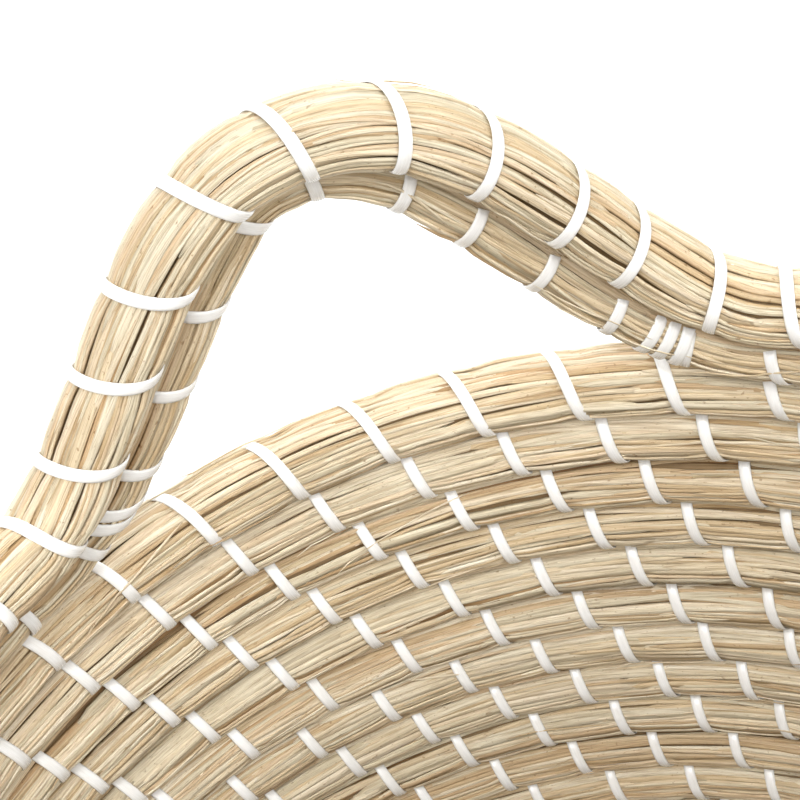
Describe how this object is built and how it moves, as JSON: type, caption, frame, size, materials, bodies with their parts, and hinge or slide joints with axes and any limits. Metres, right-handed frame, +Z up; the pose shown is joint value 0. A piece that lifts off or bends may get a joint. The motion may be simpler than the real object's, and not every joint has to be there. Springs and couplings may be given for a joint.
{
  "type": "coiled laundry basket",
  "caption": "Open round basket of stitched rush coils with a flat base, a belly-shaped wall and arched rim handles.",
  "frame": {"origin": "centre of the underside, on the floor plane", "axes": "+Z up, handles on +X and -X, -Y is the front"},
  "size_m": [0.3908, 0.3908, 0.4603],
  "materials": {
    "rush_coil": "matte dried rush stems, laid along the coil",
    "plastic_strip": "glossy, slightly translucent flat strip"
  },
  "bodies": {
    "root": {"base_centre_knot": "rush_coil", "base_coil_01": "rush_coil", "base_coil_02": "rush_coil", "base_coil_03": "rush_coil", "base_coil_04": "rush_coil", "base_coil_05": "rush_coil", "base_coil_06": "rush_coil", "base_coil_07": "rush_coil", "base_coil_08": "rush_coil", "base_stitches_inner": "plastic_strip", "base_stitches_outer": "plastic_strip", "wall_coil_01": "rush_coil", "wall_stitches_01": "plastic_strip", "wall_coil_02": "rush_coil", "wall_stitches_02": "plastic_strip", "wall_coil_03": "rush_coil", "wall_stitches_03": "plastic_strip", "wall_coil_04": "rush_coil", "wall_stitches_04": "plastic_strip", "wall_coil_05": "rush_coil", "wall_stitches_05": "plastic_strip", "wall_coil_06": "rush_coil", "wall_stitches_06": "plastic_strip", "wall_coil_07": "rush_coil", "wall_stitches_07": "plastic_strip", "wall_coil_08": "rush_coil", "wall_stitches_08": "plastic_strip", "wall_coil_09": "rush_coil", "wall_stitches_09": "plastic_strip", "wall_coil_10": "rush_coil", "wall_stitches_10": "plastic_strip", "wall_coil_11": "rush_coil", "wall_stitches_11": "plastic_strip", "wall_coil_12": "rush_coil", "wall_stitches_12": "plastic_strip", "wall_coil_13": "rush_coil", "wall_stitches_13": "plastic_strip", "wall_coil_14": "rush_coil", "wall_stitches_14": "plastic_strip", "wall_coil_15": "rush_coil", "wall_stitches_15": "plastic_strip", "wall_coil_16": "rush_coil", "wall_stitches_16": "plastic_strip", "wall_coil_17": "rush_coil", "wall_stitches_17": "plastic_strip", "wall_coil_18": "rush_coil", "wall_stitches_18": "plastic_strip", "second_coil": "rush_coil", "rim_coil": "rush_coil", "second_coil_stitches": "plastic_strip", "rim_stitches": "plastic_strip", "handle_bindings_right": "plastic_strip", "handle_bindings_left": "plastic_strip"}
  },
  "joints": []
}
